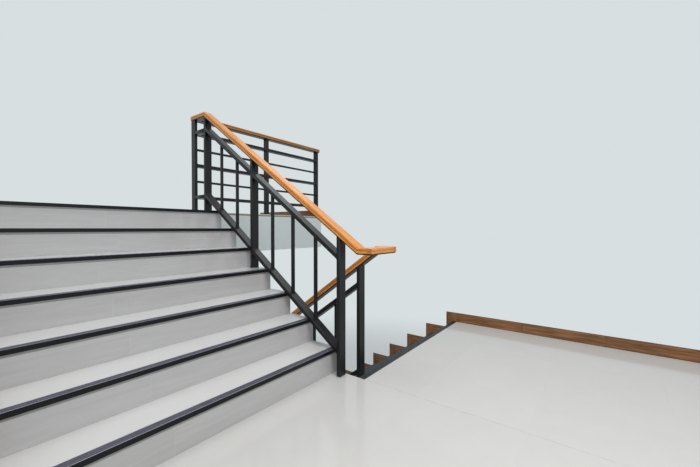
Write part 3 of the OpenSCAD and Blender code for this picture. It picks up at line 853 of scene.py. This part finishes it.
# Zinc-plated steel: bright grey with a yellowish cast.
zinc, tree, place = new_finish("zinc-plated screw steel", {"Metallic": 1})
spangle = add(tree, "TexNoise", {"Scale": 1 / 0.002, "Detail": 3}, {"Vector": place})
tone = add(
    tree, "Mix", {"data_type": "RGBA", ONE: linear("#a7a69c"), TWO: linear("#c0bfb4")},
    {SHARE: spangle},
)
gloss = add(tree, "MapRange", {"To Min": 0.25, "To Max": 0.4}, {"Value": spangle})
lay_on(tree, tone, gloss)

SCREW_R, BUTTON_R, SOCKET_R = 0.0055, 0.00385, 0.0022
SCREW_T, SOCKET_D, SCREW_PITCH = 0.0022, 0.00132, 0.30


def screw(bm, at, lean=0.0):
    """A button head under a flat, with its socket."""
    made = bmesh.ops.create_cone(
        bm, cap_ends=True, segments=18, radius1=BUTTON_R, radius2=SCREW_R, depth=SCREW_T
    )["verts"]
    under = next(f for f in {f for v in made for f in v.link_faces} if f.normal.z < -SQUARE)
    rim = bmesh.ops.inset_individual(bm, faces=[under], thickness=BUTTON_R - SOCKET_R)["faces"]
    pushed = bmesh.ops.extrude_discrete_faces(bm, faces=[under])["faces"]
    floor = list({v for f in pushed for v in f.verts})
    bmesh.ops.translate(bm, vec=(0, 0, SOCKET_D), verts=floor)
    made = list({v for f in list(rim) + pushed for v in f.verts} | set(made))
    place = Matrix.Translation(at) @ Matrix.Rotation(atan(lean), 4, "X")
    hung = Matrix.Translation((0, 0, -SCREW_T / 2))
    bmesh.ops.transform(bm, matrix=place @ hung, verts=made)


bm = bmesh.new()
for head, foot, lean in ((up_head, up_foot, UP_SLOPE), (down_head, down_foot, -SLOPE)):
    run = abs(head.y - foot.y)
    count = int(run / SCREW_PITCH)
    for i in range(count):
        y = min(head.y, foot.y) + (i + 0.5) * run / count
        z = foot.z + (y - foot.y) * lean - (WOOD_T + FLAT_T) * hypot(1, lean)
        screw(bm, (foot.x, y, z), lean)
guard_start, guard_stop = guard_bays[0][0], guard_bays[-1][1]
for n in range(int((guard_stop - guard_start) / SCREW_PITCH)):
    x = guard_start + (n + 0.5) * SCREW_PITCH
    screw(bm, (x, guard_y, guard_z - WOOD_T - FLAT_T))
screw(bm, ((UP_RAIL_X + DOWN_RAIL_X) / 2, turn_y, turn_z - WOOD_T - FLAT_T))
set_in_place(bm, "handrail_screws", (zinc,))

# Skirting: strips of wood-look porcelain, 98 mm high, glued to the walls over the floor tiles.
# They are cut at each step, upright strips in front of the risers and level ones over the treads.

# Wood-look glazed tile: printed brown grain under a silky glaze.
brown_tile, tree, along = new_finish("wood-look glazed tile", {"IOR": 1.5}, GRAIN)
printed = add(tree, "Mapping", {"Scale": (0.07, 1, 1)}, {"Vector": along})
streaks = add(
    tree, "TexNoise", {"Scale": 1 / 0.016, "Detail": 5, "Roughness": 0.6, "Distortion": 0.5},
    {"Vector": printed},
)
streak = add(tree, "MapRange", {"From Min": 0.35, "From Max": 0.62}, {"Value": streaks})
tone = add(
    tree, "Mix", {"data_type": "RGBA", ONE: linear("#9f6e45"), TWO: linear("#6a4729")},
    {SHARE: streak},
)
gloss = add(tree, "MapRange", {"To Min": 0.34, "To Max": 0.5}, {"Value": streaks})
relief = add(tree, "Bump", {"Strength": 0.2, "Distance": 0.0004}, {"Height": streaks})
lay_on(tree, tone, gloss, relief)

# Cut and arrised edges of the tile, where the print ends: painted dark brown.
dark_cut_edge, tree, place = new_finish("dark brown cut edge of the tile", {"Roughness": 0.6})
brushed = add(tree, "TexNoise", {"Scale": 1 / 0.01, "Detail": 4}, {"Vector": place})
tone = add(
    tree, "Mix", {"data_type": "RGBA", ONE: linear("#3d2a1c"), TWO: linear("#54402f")},
    {SHARE: brushed},
)
lay_on(tree, tone)

SKIRT_H, SKIRT_V, SKIRT_T, CUT_ARRIS = 0.098, 0.085, 0.012, 0.001
STRIP_L, STRIP_GAP, CLEAR = 0.60, 0.0005, 0.01
ACROSS, ALONG, UPRIGHT = 0, 1, 2  # the axes, as the ways that the grain can run
PRINT, EDGE, GLUED = 0, 1, 2  # places of the finishes in each skirting


def wall_strip(bm, source, low, high, grain_axis, number, finish=PRINT):
    """Adds the part of a solid between two corners, with its grain along an axis."""
    had = set(bm.verts)
    bm.from_mesh(source)
    for axis in range(3):
        for way, stop in ((-1, low[axis]), (1, high[axis])):
            point, normal = Vector(), Vector()
            point[axis], normal[axis] = stop, way
            cut_off(bm, had, point, normal)
    if finish == PRINT:
        arris(bm, corners({e for v in fresh(bm, had) for e in v.link_edges}), CUT_ARRIS)
    grain = bm.verts.layers.float_vector[GRAIN]
    faces = set()
    for v in fresh(bm, had):
        flat = (v.co.z, v.co.y, 0) if grain_axis == UPRIGHT else (v.co[grain_axis], v.co.z, 0)
        v[grain] = Vector(flat) + OWN_GRAIN * number
        faces.update(v.link_faces)
    for face in faces:
        cut = face.normal.z > LEANING or abs(face.normal[grain_axis]) > LEANING
        face.material_index = finish or (EDGE if cut else PRINT)


def skirting(node, glue, strips):
    """The strips on a node's walls, and the glue behind them, each between two corners."""
    clean = shape_of(node)
    source = bpy.data.meshes.new(node + " solid")
    clean.to_mesh(source)
    clean.free()
    bm = bmesh.new()
    bm.verts.layers.float_vector.new(GRAIN)
    for low, high in glue:
        wall_strip(bm, source, low, high, ACROSS, 0, GLUED)
    for number, (low, high, grain_axis) in enumerate(strips):
        low = [c + STRIP_GAP for c in low]
        high = [c - STRIP_GAP for c in high]
        wall_strip(bm, source, low, high, grain_axis, number)
    bpy.data.meshes.remove(source)
    finishes = (brown_tile, dark_cut_edge, mortar)
    set_in_place(bm, node + "_strips", finishes, node)


def layers(wall, past=CLEAR):
    """Where the glue and the tile lie, square to a wall, with room past the tile's face."""
    inward = -1 if wall > 0 else 1
    line = wall + inward * GLUE
    return sorted((wall - inward * CLEAR, line)), sorted((line, wall + inward * (SKIRT_T + past)))


for node, flight, wall in (("up_skirting", up, -WALL_X), ("down_skirting", down, WALL_X)):
    glue_x, tile_x = layers(wall)
    strips = []
    for k in range(1, RISERS + 1):
        face, foot, top = (k - 1) * GOING + LIP, (k - 1) * RISER, k * RISER
        parts = [
            (face - SKIRT_V, face if k < RISERS else face + STRIP + CLEAR, foot, UPRIGHT),
            (face, k * GOING + LIP - SKIRT_V, top, ALONG),
        ]
        for s0, s1, h, grain_axis in parts[: 2 if k < RISERS else 1]:
            (ya, za), (yb, zb) = flight(s0, h - CLEAR), flight(s1, top + SKIRT_H + CLEAR)
            ends = (tile_x[0], min(ya, yb), za), (tile_x[1], max(ya, yb), zb)
            strips.append((*ends, grain_axis))
    (_, y0, z0), (_, y1, z1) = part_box(node)
    glue = ((glue_x[0], y0 - CLEAR, z0 - CLEAR), (glue_x[1], y1 + CLEAR, z1 + CLEAR))
    skirting(node, [glue], strips)


def wall_run(wall, start, end, floor):
    """The glue and the strips on a side wall of a landing, from start to end."""
    glue_x, tile_x = layers(wall)
    count = round((end - start) / STRIP_L)
    stops = [start + (end - start) * i / count for i in range(count + 1)]
    z0, z1 = floor - CLEAR, floor + SKIRT_H + CLEAR
    glue = ((glue_x[0], start + STRIP_GAP, z0), (glue_x[1], end - STRIP_GAP, z1))
    strips = [((tile_x[0], a, z0), (tile_x[1], b, z1), ALONG) for a, b in zip(stops, stops[1:])]
    return glue, strips


# The half landing has a skirting on its left, right and back wall, and the floor on its sides.
landing_left = (-WALL_X, SKIRT_T, LANDING_Y + LIP - SKIRT_V, FLOOR_Z)
landing_right = (WALL_X, SKIRT_T, LOWER_EDGE_Y - STRIP, FLOOR_Z)
floor_left = (-WALL_X, head_y + STRIP, FAR_Y, FLOOR_Z + RISE)
floor_right = (WALL_X, guard_edge_y, FAR_Y, FLOOR_Z + RISE)
glue, strips = [], []
for wall, start, end, floor in (landing_left, landing_right):
    side_glue, side_strips = wall_run(wall, start + STRIP_GAP, end, floor)
    glue.append(side_glue)
    strips += side_strips
(back_y, line_y), (_, front_y) = layers(0, past=2 * STRIP_GAP)
z0, z1 = FLOOR_Z - CLEAR, FLOOR_Z + SKIRT_H + CLEAR
glue.append(((-WALL_X - CLEAR, back_y, z0), (WALL_X + CLEAR, line_y, z1)))
for i in range(round(2 * WALL_X / STRIP_L)):
    x = -WALL_X + STRIP_L * i
    strips.append(((x, line_y, z0), (x + STRIP_L, front_y, z1), ACROSS))
skirting("landing_skirting", glue, strips)

sides = [wall_run(*floor_left), wall_run(*floor_right)]
skirting("floor_skirting", [glue for glue, _ in sides], sides[0][1] + sides[1][1])

# Brown mastic fills the corner between the strips of the landings and their floors.
MASTIC, FALL = 0.005, 0.8
mastic = dark_cut_edge.copy()
mastic.name = "dark brown mastic"


def fillet(bm, axis, near, far, ends, floor):
    """Mastic on a floor, from near to far on axis, with its top falling towards far."""
    had = set(bm.verts)
    low, high = [min(near, far)] * 2 + [floor], [max(near, far)] * 2 + [floor + MASTIC]
    low[1 - axis], high[1 - axis] = ends
    box_between(bm, low, high)
    tops = [v for v in fresh(bm, had) if v.co.z > floor + MASTIC / 2]
    outer = [v for v in tops if abs(v.co[axis] - far) < NEAR]
    bmesh.ops.translate(bm, vec=(0, 0, -MASTIC * FALL), verts=outer)


bm = bmesh.new()
for wall, start, end, floor in (landing_left, landing_right, floor_left, floor_right):
    inward = -1 if wall > 0 else 1
    near, far = wall + inward * SKIRT_T, wall + inward * (SKIRT_T + MASTIC)
    fillet(bm, ACROSS, near, far, (start, end), floor)
fillet(bm, ALONG, SKIRT_T, SKIRT_T + MASTIC, (SKIRT_T - WALL_X, WALL_X - SKIRT_T), FLOOR_Z)
set_in_place(bm, "skirting_mastic", (mastic,))

# The studio: a pale floor that keeps the stair's shadow and fades into an even pale surround, and
# four soft lamps: a large one over the half landing, one high over the upper flight, a long panel
# on the right and a weak one from the left.
BACKDROP, FLOOR_DROP = linear("#d7dfe1"), 0.001


def seen_ray(tree):
    """1 for what the camera sees, straight, in a gloss or through glass, and 0 for other light."""
    ray = add(tree, "LightPath").outputs
    seen = {0: ray["Is Camera Ray"], 1: ray["Is Glossy Ray"]}
    first = add(tree, "Math", {"operation": "MAXIMUM"}, seen)
    seen = {0: first, 1: ray["Is Transmission Ray"]}
    return add(tree, "Math", {"operation": "MAXIMUM"}, seen)


studio_paint, tree, place = new_finish(
    "pale studio floor", {"Base Color": linear("#f1f5f6"), "Roughness": 0.9}
)
away = add(tree, "VectorMath", {"operation": "DISTANCE", 1: (0, FAR_Y / 2, FOOT_Z)}, {0: place})
fade = add(
    tree, "MapRange", {"From Min": 2.0, "From Max": 6.5, "interpolation_type": "SMOOTHSTEP"},
    {"Value": away},
)
share = add(tree, "Math", {"operation": "MULTIPLY"}, {0: seen_ray(tree), 1: fade})
glow = add(tree, "Emission", {"Color": BACKDROP, "Strength": 1})
lit = tree.nodes["Principled BSDF"]
blend = add(tree, "MixShader", {}, {0: share, 1: lit, 2: glow})
tree.links.new(blend.outputs["Shader"], tree.nodes["Material Output"].inputs["Surface"])
bm = bmesh.new()
bmesh.ops.create_grid(bm, x_segments=1, y_segments=1, size=40)
bmesh.ops.translate(bm, vec=(0, 0, FOOT_Z - FLOOR_DROP), verts=bm.verts)
mesh = bpy.data.meshes.new("studio floor")
bm.to_mesh(mesh)
bm.free()
mesh.materials.append(studio_paint)
studio_floor = bpy.data.objects.new("studio_floor", mesh)
bpy.context.scene.collection.objects.link(studio_floor)

world = bpy.data.worlds.new("pale surround")
bpy.context.scene.world = world
world.use_nodes = True
tree = world.node_tree
ambient = tree.nodes["Background"]
ambient.inputs["Color"].default_value = linear("#d8dadc")
ambient.inputs["Strength"].default_value = 0.45
shown = add(tree, "Background", {"Color": BACKDROP, "Strength": 1})
blend = add(tree, "MixShader", {}, {0: seen_ray(tree), 1: ambient, 2: shown})
tree.links.new(blend.outputs["Shader"], tree.nodes["World Output"].inputs["Surface"])

for name, place, aim, width, height, energy in (
    ("large lamp over the half landing", (-1.3, -0.2, 3.2), (0, 1.0, 0), 2.4, 2.4, 82),
    ("high lamp over the upper flight", (-0.8, 3.0, 5.2), (-0.6, 2.8, 0.8), 2.2, 2.2, 38),
    ("long panel high on the right", (2.8, 3.6, 4.9), (0, 3.6, 0.9), 3.4, 1.6, 26),
    ("weak lamp from the left", (-4.5, 3.0, 3.2), (0, 3.0, 0.6), 2.5, 2.5, 22),
):
    lamp = bpy.data.lights.new(name, "AREA")
    lamp.shape = "RECTANGLE"
    lamp.size = width
    lamp.size_y = height
    lamp.energy = energy
    lamp_object = bpy.data.objects.new(name, lamp)
    lamp_object.location = place
    lamp_object.rotation_euler = (Vector(aim) - Vector(place)).to_track_quat("-Z", "Y").to_euler()
    lamp_object.visible_camera = False
    bpy.context.scene.collection.objects.link(lamp_object)
bpy.context.scene.view_settings.view_transform = "Standard"
